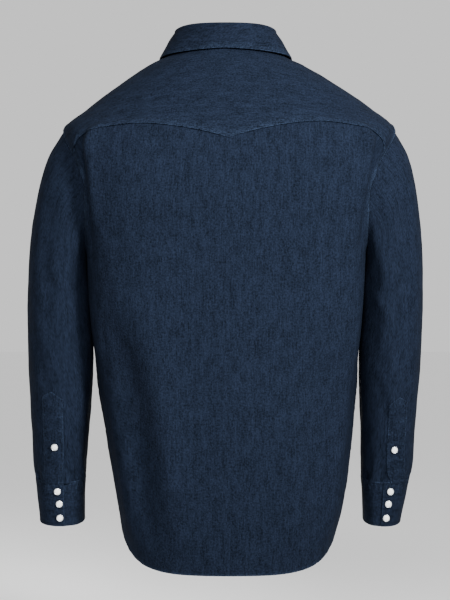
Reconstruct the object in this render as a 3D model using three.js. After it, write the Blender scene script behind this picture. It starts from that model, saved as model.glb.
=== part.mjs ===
// A long-sleeved denim shirt with a western yoke and pearl snaps, filled out as if worn.
// Millimetres, +Z up. The front faces -Y and the wearer's left is at +X. The origin is the point
// between the shoulders, level with the sides of the neck seam.
import * as THREE from 'three';

const { degToRad, radToDeg, lerp, smoothstep } = THREE.MathUtils;

// Cloth and seams
const CLOTH = 1.5; // denim, one layer
const DOUBLE = 2.2; // two layers pressed flat, in the collar and cuffs
const SEAM_GAP = 0.3; // between pieces that are sewn together
const STRIP_GAP = 0.45; // under a strip that lies round a sleeve
const TRIM = SEAM_GAP / 2; // what each of two neighbours gives up for the gap
const BAND_WIDTH = 35; // front band, and the lap of the fronts and the collar stand

// Rows of numbers under named columns
function table(names, rows) {
  const columns = names.split(' ');
  return rows.map((row) => Object.fromEntries(columns.map((column, i) => [column, row[i]])));
}

// The trunk in rings, from the hem (row 0) to the neck seam (row 12). side, back and front are a
// ring's heights. wide, rear and chest are its reach. boxBack and boxFront square its corners, sag
// lowers them, tail bends the ring like a shirt tail, and shift moves it to the wearer's left.
const TRUNK = table('side back front wide rear chest boxBack boxFront sag tail shift', [
  [-669, -751, -732, 161, 130, 128, 0.06, 0.06, 0, 1, -5.2],
  [-634, -683, -671, 169.5, 128, 129, 0.14, 0.14, 0, 1, -7.5],
  [-562, -580, -576, 180, 124, 130, 0.15, 0.15, 0, 0.6, -5.5],
  [-478, -484, -484, 191, 121, 132, 0.17, 0.17, 0, 0, -2.5],
  [-388, -390, -392, 201.5, 122, 135, 0.3, 0.28, 0, 0, -1],
  [-300, -296, -302, 206, 126, 137, 0.35, 0.28, 0, 0, -1],
  [-236, -214, -240, 211, 129, 136, 0.4, 0.24, 4, 0, -2],
  [-172, -150, -196, 222, 123, 127, 0.4, 0.18, 8, 0, -4],
  [-112, -104, -160, 244, 112, 115, 0.25, 0.15, 10, 0, -5.5],
  [-78.5, -69, -130, 211, 101, 101, 0.12, 0.12, 8, 0, -6],
  [-46, -38, -102, 166, 89, 88, 0.08, 0.08, 5, 0, -4],
  [-15.5, -11, -80, 118, 75, 76, 0.04, 0.04, 2, 0, -1],
  [5, 10, -62, 71, 60, 64, 0, 0, 0, 0, 0],
]);
const UNDERARM = 5; // the armhole's lowest ring
const SHOULDER_TIP = 8.05; // the armhole's highest ring
const NECK = TRUNK.length - 1;
const TAIL_ROUND = 0.12; // how softly the tail turns at the side seam

// Soft folds of the trunk, each along a line from a low ring to a high one. Turns are in degrees
// round the trunk: 0 at the left side seam, 90 at the middle of the back, 270 in front.
const TRUNK_FOLDS = table('low high turnLow turnHigh breadth height', [
  [5.2, 8.7, 33, 47, 4.5, 6],
  [4.8, 8.1, 30, 35, 4.5, -6],
  [5.2, 8.7, 147, 133, 4.5, 6],
  [4.8, 8.1, 150, 145, 4.5, -6],
  [2.9, 6.8, 0, 0, 9, -6.5],
  [2.9, 6.8, 180, 180, 9, -6.5],
  [0.2, 4.6, 36, 26, 7, 3.5],
  [0.4, 4.9, 146, 156, 7, 3.5],
  [0, 3.9, 70, 62, 8, 2.5],
  [0.1, 3.2, 112, 121, 9, 2.5],
  [5, 8.8, -31, -43, 5, 5],
  [5, 8.8, 211, 223, 5, 5],
  [0.3, 4.7, -33, -25, 8, 3.5],
  [0.2, 4.4, 214, 206, 8, 3],
  [0, 3.4, -62, -70, 9, -2.5],
]);

// The yoke's back seam waves up to a crest on each side and down to a soft point in the middle.
// Its front seam runs up to the neck at one turn.
const YOKE = { crestTurn: 60, crestLeft: 8.12, crestRight: 8.2, point: 7.43, bend: 1.6, rise: 2.6 };
const ARMHOLE = { back: 26, front: 26 }; // degrees of turn
const YOKE_BACK_PHI = 62; // where the yoke's back seam meets the armhole
const YOKE_FRONT_PHI = -38;

// Sleeve rings from the armhole (row 0) to the wrist, in the left arm's frame: the outermost and
// innermost points, the middle's depth, the half depth, and how far the back hangs lower.
const SLEEVE_COLUMNS = 'outX outZ inX inZ middle deep lean';
const SLEEVES = {
  left: table(SLEEVE_COLUMNS, [
    [241, -112, 200, -300, 0, 68, 0],
    [263, -152, 202, -316, 1, 68, 0],
    [278.5, -210, 199.5, -342, 1, 67, 0],
    [289, -285, 197, -380, 0, 66, 0],
    [292.5, -365, 195.5, -425, -3, 64, 0],
    [292, -450, 197, -475, -8, 60, 1.5],
    [288.5, -537, 202, -545, -15, 53, 3],
    [286, -600, 207, -600, -22, 46, 5],
    [282.5, -624, 209, -624, -25, 43, 6],
  ]),
  right: table(SLEEVE_COLUMNS, [
    [252, -114, 202, -300, 0, 68, 0],
    [270, -148, 204, -316, 1, 68, 0],
    [282, -200, 201, -342, 1, 67, 0],
    [290.5, -285, 200, -380, 0, 66, 0],
    [291.5, -365, 198, -425, -3, 64, 0],
    [289, -450, 198, -475, -8, 60, 1.5],
    [282.5, -537, 200.5, -545, -15, 53, 3],
    [279, -600, 201.5, -600, -22, 47, 5],
    [273.5, -624, 202.5, -624, -25, 45, 6],
  ]),
};
const SLEEVE_BOX = 0.1;
const SLEEVE_STEPS = [0, 0.25, 0.6, 1, 1.5, 2.1, 2.8, 3.6, 4.4, 5.2, 6, 6.8, 7.5, 8];
const ARMHOLE_BLEND = 1.6; // rows over which the armhole's outline turns into a plain ring
const UNDERARM_CLEARANCE = 0.6;

// Soft folds of a sleeve along lines from the armhole side to the wrist side. phi is in degrees
// round the sleeve: 0 outside, 90 at the back, 180 next to the body, -90 in front.
const SLEEVE_FOLDS = table('low high phiLow phiHigh breadth height', [
  [0.2, 3.4, 128, 96, 12, 4],
  [0.5, 4.6, 62, 74, 14, -3.5],
  [2.6, 6.4, 120, 78, 13, 3],
  [0.4, 3.6, -118, -84, 12, 4],
  [3.2, 5.4, -150, -66, 12, -4],
  [3.9, 6.2, -140, -58, 11, 3.5],
]);

// Cuffs, from the sleeve's end down. edge is where the outer end of the lap lies.
const CUFFS = {
  left: {
    edge: 100.8,
    rows: table(SLEEVE_COLUMNS, [
      [282, -624, 209.5, -624, -25, 43, 6],
      [276, -687, 211, -687, -31, 45, 6],
    ]),
  },
  right: {
    edge: 98,
    rows: table(SLEEVE_COLUMNS, [
      [273, -624, 203, -624, -25, 45, 6],
      [260, -687, 206, -687, -31, 49, 6],
    ]),
  },
};
const CUFF_LAP = 36; // degrees
const CUFF_SPANS = 33;

// Gauntlets: the strip's two edges at rings of the sleeve, from the wrist to the pointed top
const GAUNTLET_COLUMNS = 'step outer inner';
const GAUNTLETS = {
  left: table(GAUNTLET_COLUMNS, [
    [8, 54, 91],
    [6.9, 62, 101],
    [5.49, 63, 98],
  ]),
  right: table(GAUNTLET_COLUMNS, [
    [8, 44, 82],
    [6.9, 58, 95],
    [5.59, 60, 94],
  ]),
};
const GAUNTLET_POINT = 0.11; // rings by which the middle of the top stands above its corners

// Collar stand and leaf. The roll is the fold's section past the stand's top, out and up.
const STAND = { lift: 0.6, back: 27.5, side: 29, front: 26, lean: 1.5 };
const ROLL = table('out up', [
  [-DOUBLE, 0],
  [-DOUBLE, 1.6],
  [-1.2, 3.6],
  [1.2, 4.8],
  [3.8, 4.4],
  [5.6, 2.6],
  [6.6, -1],
]);
const LEAF_FALL = [0.16, 0.34, 0.52, 0.7, 0.86, 1];
const LEAF_CROWN = 1.2; // how far the leaf bows out between its fold and its edge
// From the collar point to the middle of the back: the stand's turn, and the leaf edge's place
const LEAF = table('stand turn level lift', [
  [-87, -69, 10.2, 6],
  [-64, -50, 10.72, 5],
  [-34, -27, 11.18, 4.2],
  [0, 0, 11.47, 4],
  [33, 33, 11.5, 4],
  [62, 62, 11.58, 4],
  [90, 90, 11.68, 4],
]);
const LEAF_SPANS = 17; // on each half

// Pearl snaps: a low cap. Heights are the places of the front ones on the band, as trunk rings.
const SNAP = { radius: 5.25, height: 2.3, rim: 0.6, sides: 10, lift: 0.4 };
const BAND_SNAPS = [11.3, 9.7, 7.6, 5.9, 4.75, 3.7, 2.65];
const CUFF_SNAPS = {
  left: [[87.5, 0.18], [90.5, 0.47], [90.5, 0.8]],
  right: [[82, 0.18], [84, 0.47], [86, 0.8]],
};
const GAUNTLET_SNAPS = { left: [85, 6.45], right: [82, 6.52] };

// Even steps from one value to another, both included
const steps = (from, to, count) => Array.from({ length: count + 1 }, (_, i) => lerp(from, to, i / count));

// A smooth curve through one column of a table, read at a row number with a fraction
function along(rows, column, at) {
  const last = rows.length - 1;
  const low = Math.max(0, Math.min(last - 1, Math.floor(at)));
  const t = Math.min(Math.max(at, 0), last) - low;
  const b = rows[low][column];
  const c = rows[low + 1][column];
  const a = low > 0 ? rows[low - 1][column] : 2 * b - c;
  const d = low + 2 <= last ? rows[low + 2][column] : 2 * c - b;
  const bend = (2 * a - 5 * b + 4 * c - d) * t * t + (3 * b - a - 3 * c + d) * t ** 3;
  return b + 0.5 * ((c - a) * t + bend);
}

// The height of a set of soft folds at one place, across (degrees) and along (rows)
function foldHeight(folds, across, place, names) {
  let height = 0;
  for (const fold of folds) {
    const way = (place - fold.low) / (fold.high - fold.low);
    if (way <= 0 || way >= 1) continue;
    const middle = lerp(fold[names[0]], fold[names[1]], way);
    const off = THREE.MathUtils.euclideanModulo(across - middle + 180, 360) - 180;
    height += fold.height * (1 - (2 * way - 1) ** 4) ** 2 * Math.exp(-((off / fold.breadth) ** 2));
  }
  return height;
}

// A point of the trunk at a turn in degrees and a ring number
function trunkPoint(turn, level) {
  const c = Math.cos(degToRad(turn));
  const s = Math.sin(degToRad(turn));
  const at = (column) => along(TRUNK, column, level);
  const reach = at(s > 0 ? 'rear' : 'chest');
  const box = at(s > 0 ? 'boxBack' : 'boxFront');
  const drop = at(s > 0 ? 'back' : 'front') - at('side');
  const rounded = (Math.hypot(s, TAIL_ROUND) - TAIL_ROUND) / (Math.hypot(1, TAIL_ROUND) - TAIL_ROUND);
  const curve = lerp(smoothstep(Math.abs(s), 0, 1), rounded * (2 - rounded), at('tail'));
  const point = new THREE.Vector3(
    at('shift') + at('wide') * c * (1 + box * s * s),
    reach * s * (1 + box * c * c),
    at('side') + drop * curve - at('sag') * (2 * s * c) ** 2,
  );
  const outward = new THREE.Vector3(c / at('wide'), s / reach, 0).normalize();
  return point.addScaledVector(outward, foldHeight(TRUNK_FOLDS, turn, level, ['turnLow', 'turnHigh']));
}

// The point and outward normal of a surface given as a function of two numbers. side is -1 where
// the function's own turning sense gives a normal that points in.
function node(surface, u, v, side = 1, du = 0.4, dv = 0.01) {
  const across = surface(u + du, v).sub(surface(u - du, v));
  const up = surface(u, v + dv).sub(surface(u, v - dv));
  return { point: surface(u, v), normal: across.cross(up).normalize().multiplyScalar(side) };
}
const trunkNode = (turn, level) => node(trunkPoint, turn, level);

// Nodes for a plain grid of points, with normals from the grid itself
function gridNodes(points, side = 1) {
  const near = (list, i) => [list[Math.max(0, i - 1)], list[Math.min(list.length - 1, i + 1)]];
  return points.map((row, r) => row.map((point, c) => {
    const [left, right] = near(row, c);
    const [below, above] = near(points, r);
    const normal = right.clone().sub(left).cross(above[c].clone().sub(below[c])).normalize();
    return { point, normal: normal.multiplyScalar(side) };
  }));
}

// Draws the border rows and columns of a sheet in, which leaves a gap at its seams
function trimmed(rows, { first = 0, last = 0, left = 0, right = 0 }) {
  const far = rows.length - 1;
  const end = rows[0].length - 1;
  const move = (from, to, by) => to.point.clone().sub(from.point).setLength(by);
  return rows.map((row, r) => row.map((here, c) => {
    const point = here.point.clone();
    if (r === 0 && first) point.add(move(here, rows[1][c], first));
    if (r === far && last) point.add(move(here, rows[far - 1][c], last));
    if (c === 0 && left) point.add(move(here, row[1], left));
    if (c === end && right) point.add(move(here, row[end - 1], right));
    return { point, normal: here.normal };
  }));
}

// A closed wall of cloth through rows of nodes. lift is the outer face's height over the nodes.
// On a ring the last column joins the first.
function clothWall(rows, thickness, { ring = false, lift = 0 } = {}) {
  const columns = rows[0].length;
  const count = rows.length * columns;
  const spans = ring ? columns : columns - 1;
  const last = rows.length - 1;
  const positions = [];
  for (const depth of [lift, lift - thickness]) {
    for (const { point, normal } of rows.flat()) {
      positions.push(...point.clone().addScaledVector(normal, depth));
    }
  }
  const faces = [];
  const at = (r, c) => r * columns + (c % columns);
  const quad = (a, b, c, d) => faces.push(a, b, c, a, c, d);
  const rim = (a, b) => quad(b, a, a + count, b + count);
  for (let c = 0; c < spans; c++) {
    for (let r = 0; r < last; r++) {
      const [a, b, d, e] = [at(r, c), at(r, c + 1), at(r + 1, c + 1), at(r + 1, c)];
      quad(a, b, d, e);
      quad(a + count, e + count, d + count, b + count);
    }
    rim(at(0, c), at(0, c + 1));
    rim(at(last, c + 1), at(last, c));
  }
  for (let r = 0; r < last && !ring; r++) {
    rim(at(r + 1, 0), at(r, 0));
    rim(at(r, columns - 1), at(r + 1, columns - 1));
  }
  return solid(positions, faces);
}

// A geometry whose faces point out, whichever way round its nodes were listed
function solid(positions, faces) {
  const corner = (i) => new THREE.Vector3().fromArray(positions, 3 * i);
  let volume = 0;
  for (let i = 0; i < faces.length; i += 3) {
    volume += corner(faces[i]).dot(corner(faces[i + 1]).cross(corner(faces[i + 2])));
  }
  const geometry = new THREE.BufferGeometry();
  geometry.setAttribute('position', new THREE.Float32BufferAttribute(positions, 3));
  geometry.setIndex(volume > 0 ? faces : faces.reverse());
  geometry.computeVertexNormals();
  return geometry;
}

// The left armhole's place on the trunk. phi is 0 at its top, 90 at the back, 180 under the arm.
function armhole(phi) {
  const s = Math.sin(degToRad(phi));
  const height = (1 + Math.cos(degToRad(phi))) / 2;
  const turn = (s > 0 ? ARMHOLE.back : ARMHOLE.front) * s;
  return { turn, level: lerp(UNDERARM, SHOULDER_TIP, height) };
}
const BACK_PHI = steps(180, YOKE_BACK_PHI, 8);
const YOKE_PHI = steps(YOKE_BACK_PHI, YOKE_FRONT_PHI, 6);
const FRONT_PHI = steps(YOKE_FRONT_PHI, -180, 9);
const ARMHOLE_PHI = [BACK_PHI, YOKE_PHI, FRONT_PHI].flatMap((list) => list.slice(0, -1));
const YOKE_CORNER = armhole(YOKE_BACK_PHI);

const SIDE_LEVELS = [0, 0.3, 0.65, 1, 1.6, 2.4, 3.2, 4, 4.5];
const YOKE_WAYS = [0, 0.12, 0.27, 0.43, 0.59, 0.75, 0.89, 1]; // from the yoke's border to the neck
const FREE_TURN = 34; // back columns nearer to the side than this give way to the armhole
const HALF_BACK = [0, 7, 14, 21, 27, 31, 34, 37, 40, 43.5, 48, 54, 61, 68, 75, 82.5, 90];
const BACK_COLUMNS = [...HALF_BACK, ...HALF_BACK.slice(0, -1).reverse().map((turn) => 180 - turn)];

// The turn of a back column on a row that starts at the turn called border
function backTurn(column, border) {
  const half = Math.min(column, 180 - column);
  const turn = half < FREE_TURN ? border + (half * (FREE_TURN - border)) / FREE_TURN : half;
  return column > 90 ? 180 - turn : turn;
}

// The ring number of the yoke's back seam at a turn
function yokeSeam(turn) {
  const half = Math.min(turn, 180 - turn);
  const crest = turn > 90 ? YOKE.crestRight : YOKE.crestLeft;
  if (half < YOKE.crestTurn) {
    const short = (YOKE.crestTurn - half) / (YOKE.crestTurn - YOKE_CORNER.turn);
    return lerp(crest, YOKE_CORNER.level, short ** YOKE.rise);
  }
  const fall = (half - YOKE.crestTurn) / (90 - YOKE.crestTurn);
  return lerp(crest, YOKE.point, fall ** YOKE.bend);
}

function backPanel() {
  const sides = SIDE_LEVELS.map((level) => ({ turn: 0, level }));
  const rows = [...sides, ...BACK_PHI.map(armhole)].map(({ turn, level }) => {
    const height = Math.max(0, (level - UNDERARM) / (YOKE_CORNER.level - UNDERARM));
    return BACK_COLUMNS.map((column) => {
      const seam = yokeSeam(backTurn(column, YOKE_CORNER.turn));
      return trunkNode(backTurn(column, turn), level + (seam - YOKE_CORNER.level) * height ** 2);
    });
  });
  return clothWall(trimmed(rows, { last: TRIM, left: TRIM, right: TRIM }), CLOTH);
}

function yokePanel() {
  const arm = YOKE_PHI.map(armhole);
  const seam = BACK_COLUMNS.slice(1, -1).map((column) => {
    const turn = backTurn(column, YOKE_CORNER.turn);
    return { turn, level: yokeSeam(turn) };
  });
  const mirrored = arm.map(({ turn, level }) => ({ turn: 180 - turn, level }));
  const border = [...arm.reverse(), ...seam, ...mirrored];
  const rows = YOKE_WAYS.map((way) =>
    border.map(({ turn, level }) => trunkNode(turn, lerp(level, NECK, way))));
  const gaps = { first: TRIM, last: TRIM, left: 2 * SEAM_GAP, right: 2 * SEAM_GAP };
  return clothWall(trimmed(rows, gaps), CLOTH);
}

// The turn in front, from 180 to 360 degrees, at which a ring passes a distance x from the middle
function frontTurn(x, level) {
  const at = (column) => along(TRUNK, column, level);
  return 360 - radToDeg(Math.acos((x - at('shift')) / (at('wide') * (1 + at('boxFront')))));
}

// A front from its edge at the band to the side seam, armhole and yoke. The right one lies under
// the left one in the middle.
const BAND_COLUMNS = steps(-BAND_WIDTH / 2, BAND_WIDTH / 2, 2);
const FRONT_WAYS = [0.12, 0.25, 0.38, 0.51, 0.63, 0.74, 0.84, 0.92, 1]; // from the band to the side
const FRONT_CORNER = armhole(YOKE_FRONT_PHI);
const FRONT_BORDER = [
  ...SIDE_LEVELS.map((level) => ({ turn: 0, level })),
  ...[...FRONT_PHI].reverse().map(armhole),
  ...YOKE_WAYS.slice(1).map((way) => ({ ...FRONT_CORNER, level: lerp(FRONT_CORNER.level, NECK, way) })),
];
function frontPanel(side) {
  const rows = FRONT_BORDER.map(({ turn, level }) => {
    const lap = BAND_COLUMNS.map((x) => frontTurn(side * x, level));
    const outer = side > 0 ? 360 + turn : 180 - turn;
    const turns = [...lap, ...FRONT_WAYS.map((way) => lerp(lap.at(-1), outer, way))];
    return turns.map((each) => {
      const here = trunkNode(each, level);
      const under = side > 0 ? 0 : smoothstep(here.point.x, -48, -22) * (CLOTH + SEAM_GAP);
      here.point.addScaledVector(here.normal, -under);
      return here;
    });
  });
  const ordered = side > 0 ? rows : rows.map((row) => row.reverse());
  const [left, right] = side > 0 ? [0, TRIM] : [TRIM, 0];
  return clothWall(trimmed(ordered, { last: TRIM, left, right }), CLOTH);
}

// The band lies on the left front, from the hem to the neck
function frontBand() {
  const rows = FRONT_BORDER.map(({ level }) =>
    BAND_COLUMNS.map((x) => trunkNode(frontTurn(x, level), level)));
  return clothWall(trimmed(rows, { last: SEAM_GAP }), CLOTH, { lift: CLOTH + SEAM_GAP });
}

// The stand's outer face over the neck seam: up is 0 at the seam and 1 at its top
function standPoint(turn, up) {
  const s = Math.sin(degToRad(turn));
  const height = lerp(STAND.side, s > 0 ? STAND.back : STAND.front, s * s);
  const point = trunkPoint(turn, NECK);
  const outward = new THREE.Vector3(point.x, point.y, 0).normalize();
  point.addScaledVector(outward, -STAND.lean * up);
  point.z += STAND.lift + height * up;
  return point;
}

// The turn in a leaf column, from the left point (place 0) to the right one
const LEAF_PLACES = steps(0, 2 * (LEAF.length - 1), 2 * LEAF_SPANS);
function leafTurn(name, place) {
  const last = LEAF.length - 1;
  const angle = along(LEAF, name, Math.min(place, 2 * last - place));
  return place > last ? 180 - angle : angle;
}

// The stand runs from its outer end, right of the middle, round the back to the end beneath
const STAND_END = radToDeg(Math.asin(BAND_WIDTH / 2 / TRUNK[NECK].wide));
function collarStand() {
  const turns = [-90 - STAND_END, -91, ...LEAF_PLACES.map((place) => leafTurn('stand', place))];
  turns.push(271, 270 + 0.5 * STAND_END, 270 + STAND_END);
  const rows = [0, 0.5, 1].map((up) => turns.map((turn) => {
    const here = node(standPoint, turn, up, 1, 0.4, 0.01);
    const under = smoothstep(turn, 270 - 1.9 * STAND_END, 270 - 1.1 * STAND_END) * (DOUBLE + SEAM_GAP);
    here.point.addScaledVector(here.normal, -under);
    return here;
  }));
  return clothWall(rows, DOUBLE);
}

// The leaf rises out of the stand, rolls over and falls to its edge, just above yoke and fronts
function collarLeaf() {
  const columns = LEAF_PLACES.map((place) => {
    const half = Math.min(place, 2 * (LEAF.length - 1) - place);
    const edge = trunkNode(leafTurn('turn', place), along(LEAF, 'level', half));
    edge.point.addScaledVector(edge.normal, along(LEAF, 'lift', half));
    const top = standPoint(leafTurn('stand', place), 1);
    const outward = new THREE.Vector3(top.x, top.y, 0).normalize();
    const roll = ROLL.map(({ out, up }) => {
      const point = top.clone().addScaledVector(outward, out);
      point.z += SEAM_GAP + up;
      return point;
    });
    const fall = LEAF_FALL.map((way) => {
      const point = roll.at(-1).clone().lerp(edge.point, way);
      return point.addScaledVector(edge.normal, LEAF_CROWN * Math.sin(Math.PI * way));
    });
    return [...roll, ...fall];
  });
  const rows = columns[0].map((_, r) => columns.map((column) => column[r]));
  return clothWall(gridNodes(rows, -1), DOUBLE);
}

// A point on one of a limb's rings, in the left arm's frame
function ringPoint(rows, phi, step) {
  const c = Math.cos(degToRad(phi));
  const s = Math.sin(degToRad(phi));
  const at = (column) => along(rows, column, step);
  const reach = (1 + c * (1 + SLEEVE_BOX * s * s)) / 2;
  return new THREE.Vector3(
    lerp(at('inX'), at('outX'), reach),
    at('middle') + at('deep') * s * (1 + SLEEVE_BOX * c * c),
    lerp(at('inZ'), at('outZ'), reach) - at('lean') * s,
  );
}

// A point of a sleeve: the armhole's outline at first, then plain rings with soft folds
const MIRROR = new THREE.Vector3(-1, 1, 1);
function sleevePoint(arm, phi, step) {
  const rows = SLEEVES[arm];
  const point = ringPoint(rows, phi, step);
  const ring = ringPoint(rows, phi, 0);
  const folds = foldHeight(SLEEVE_FOLDS, phi, step, ['phiLow', 'phiHigh']);
  const outward = new THREE.Vector3(Math.cos(degToRad(phi)), Math.sin(degToRad(phi)), 0);
  point.addScaledVector(outward, folds);
  if (arm === 'right') [point, ring].forEach((each) => each.multiply(MIRROR));
  const fade = Math.max(0, 1 - step / ARMHOLE_BLEND) ** 2;
  if (fade === 0) return point;
  const { turn, level } = armhole(phi);
  const start = trunkNode(arm === 'right' ? 180 - turn : turn, level);
  const inner = (1 - Math.cos(degToRad(phi))) / 2;
  start.point.addScaledVector(start.normal, UNDERARM_CLEARANCE * inner);
  return point.addScaledVector(start.point.sub(ring), fade);
}

// On the right the turning sense is the other way round
const sense = (arm) => (arm === 'right' ? 1 : -1);
function sleeveNode(arm, phi, step) {
  const here = node((u, v) => sleevePoint(arm, u, v), phi, step, sense(arm), 1, 0.02);
  if (step > 0) return here;
  // At the armhole the wall's edge meets the trunk's edge squarely, but not under the arm
  const { turn, level } = armhole(phi);
  const trunk = trunkNode(arm === 'right' ? 180 - turn : turn, level).normal;
  here.normal.lerp(trunk, smoothstep(here.normal.dot(trunk), 0.1, 0.8)).normalize();
  return here;
}

function sleeve(arm) {
  const rows = SLEEVE_STEPS.map((step) => ARMHOLE_PHI.map((phi) => sleeveNode(arm, phi, step)));
  return clothWall(trimmed(rows, { first: TRIM, last: TRIM }), CLOTH, { ring: true });
}

function gauntlet(arm) {
  const edges = GAUNTLETS[arm];
  const last = edges.length - 1;
  const rows = steps(0, last, 10).map((place) => {
    const top = smoothstep(place, last - 0.3, last);
    return steps(0, 1, 6).map((way) => {
      const phi = lerp(along(edges, 'outer', place), along(edges, 'inner', place), way);
      const point = top * GAUNTLET_POINT * (1 - Math.abs(2 * way - 1));
      return sleeveNode(arm, phi, along(edges, 'step', place) - point);
    });
  });
  return clothWall(trimmed(rows, { first: SEAM_GAP }), CLOTH, { lift: CLOTH + STRIP_GAP });
}

// A point of a cuff: phi may run past a full turn, and the lap's inner end lies beneath
function cuffPoint(arm, phi, down) {
  const { edge, rows } = CUFFS[arm];
  const point = ringPoint(rows, phi, down);
  const under = smoothstep(edge - phi, 332, 357) * (DOUBLE + SEAM_GAP);
  const outward = new THREE.Vector3(Math.cos(degToRad(phi)), Math.sin(degToRad(phi)), 0);
  point.addScaledVector(outward, -under);
  return arm === 'right' ? point.multiply(MIRROR) : point;
}
const cuffNode = (arm, phi, down) => node((u, v) => cuffPoint(arm, u, v), phi, down, sense(arm), 1, 0.02);

function cuff(arm) {
  const { edge } = CUFFS[arm];
  const rows = [0, 0.33, 0.67, 1].map((down) =>
    steps(edge, edge - 360 - CUFF_LAP, CUFF_SPANS).map((phi) => cuffNode(arm, phi, down)));
  return clothWall(trimmed(rows, { first: TRIM }), DOUBLE);
}

// Finishes
const denim = new THREE.MeshStandardMaterial({ color: '#253046', roughness: 0.9 });
const pearl = new THREE.MeshStandardMaterial({ color: '#dfe2e0', roughness: 0.25 });

const shirt = new THREE.Group();
function add(name, geometry, material = denim) {
  const mesh = new THREE.Mesh(geometry, material);
  mesh.name = name;
  shirt.add(mesh);
  return mesh;
}

// A snap's cap stands on the cloth at a node, raised by what the cloth there is raised
function addSnap(name, { point, normal }, raised = 0) {
  const { radius, height, rim, sides, lift } = SNAP;
  const profile = [[0, 0], [radius * 0.94, 0], [radius, rim], [radius * 0.8, 0.8 * height], [0, height]];
  const geometry = new THREE.LatheGeometry(profile.map(([x, y]) => new THREE.Vector2(x, y)), sides);
  const mesh = add(name, geometry, pearl);
  mesh.position.copy(point).addScaledVector(normal, raised + lift);
  mesh.quaternion.setFromUnitVectors(new THREE.Vector3(0, 1, 0), normal);
}

add('back', backPanel());
add('yoke', yokePanel());
add('front_left', frontPanel(1));
add('front_right', frontPanel(-1));
add('front_band', frontBand());
add('collar_stand', collarStand());
add('collar_leaf', collarLeaf());
addSnap('snap_front_0', node(standPoint, -90, 0.45, 1, 0.4, 0.01));
BAND_SNAPS.forEach((level, i) => {
  addSnap(`snap_front_${i + 1}`, trunkNode(frontTurn(0, level), level), CLOTH + SEAM_GAP);
});
for (const arm of ['left', 'right']) {
  add(`sleeve_${arm}`, sleeve(arm));
  add(`gauntlet_${arm}`, gauntlet(arm));
  add(`cuff_${arm}`, cuff(arm));
  const [phi, step] = GAUNTLET_SNAPS[arm];
  addSnap(`snap_gauntlet_${arm}`, sleeveNode(arm, phi, step), CLOTH + STRIP_GAP);
  CUFF_SNAPS[arm].forEach(([turn, down], i) => {
    addSnap(`snap_cuff_${arm}_${i + 1}`, cuffNode(arm, turn, down));
  });
}

export default shirt;
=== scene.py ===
"""A long-sleeved denim shirt with a western yoke and pearl snaps, filled out with no wearer.

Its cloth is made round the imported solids, in their frame: +Z up, the front faces -Y and the wearer's
left is at +X. Sizes are in millimetres and are turned into metres where a mesh is made.
"""

import bmesh
import bpy
import numpy as np
from mathutils import Matrix, Vector


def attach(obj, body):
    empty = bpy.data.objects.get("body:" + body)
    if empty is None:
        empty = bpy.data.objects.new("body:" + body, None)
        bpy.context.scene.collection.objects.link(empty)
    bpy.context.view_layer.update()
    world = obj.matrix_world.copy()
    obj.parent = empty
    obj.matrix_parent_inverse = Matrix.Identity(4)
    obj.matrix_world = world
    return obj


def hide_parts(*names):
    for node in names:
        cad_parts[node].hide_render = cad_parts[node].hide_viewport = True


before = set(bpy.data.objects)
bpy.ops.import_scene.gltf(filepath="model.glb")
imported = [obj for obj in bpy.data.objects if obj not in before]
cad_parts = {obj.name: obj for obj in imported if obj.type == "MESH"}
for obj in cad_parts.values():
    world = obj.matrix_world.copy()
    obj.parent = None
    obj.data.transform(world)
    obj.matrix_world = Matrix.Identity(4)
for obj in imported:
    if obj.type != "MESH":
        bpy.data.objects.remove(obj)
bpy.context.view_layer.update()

# Back panel
# One piece of rinsed denim below the yoke, with a curved tail. Its turned side edges lap the fronts
# and the sleeves and are sewn down with two rows of stitches, and its hem is turned up twice.
MM = 0.001


def table(names, rows):
    """Named columns of a table of numbers."""
    return dict(zip(names.split(), np.array(rows, float).T))


# All panels of the trunk lie on one surface, given by rings from the hem (row 0) to the neck seam
# (row 12): heights at the side, back and front, half the width, reach behind and in front, how
# square it is there, its sag between, its share of the round tail, and how far it stands aside.
TRUNK = table("side back front wide rear chest box_back box_front sag tail shift", [
    [-669, -751, -732, 161, 130, 128, 0.06, 0.06, 0, 1, -5.2],
    [-634, -683, -671, 169.5, 128, 129, 0.14, 0.14, 0, 1, -7.5],
    [-562, -580, -576, 180, 124, 130, 0.15, 0.15, 0, 0.6, -5.5],
    [-478, -484, -484, 191, 121, 132, 0.17, 0.17, 0, 0, -2.5],
    [-388, -390, -392, 201.5, 122, 135, 0.3, 0.28, 0, 0, -1],
    [-300, -296, -302, 206, 126, 137, 0.35, 0.28, 0, 0, -1],
    [-236, -214, -240, 211, 129, 136, 0.4, 0.24, 4, 0, -2],
    [-172, -150, -196, 222, 123, 127, 0.4, 0.18, 8, 0, -4],
    [-112, -104, -160, 244, 112, 115, 0.25, 0.15, 10, 0, -5.5],
    [-78.5, -69, -130, 211, 101, 101, 0.12, 0.12, 8, 0, -6],
    [-46, -38, -102, 166, 89, 88, 0.08, 0.08, 5, 0, -4],
    [-15.5, -11, -80, 118, 75, 76, 0.04, 0.04, 2, 0, -1],
    [5, 10, -62, 71, 60, 64, 0, 0, 0, 0, 0],
])
TAIL_ROUND = 0.12  # rounds the tail's turn at the side seams

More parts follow.
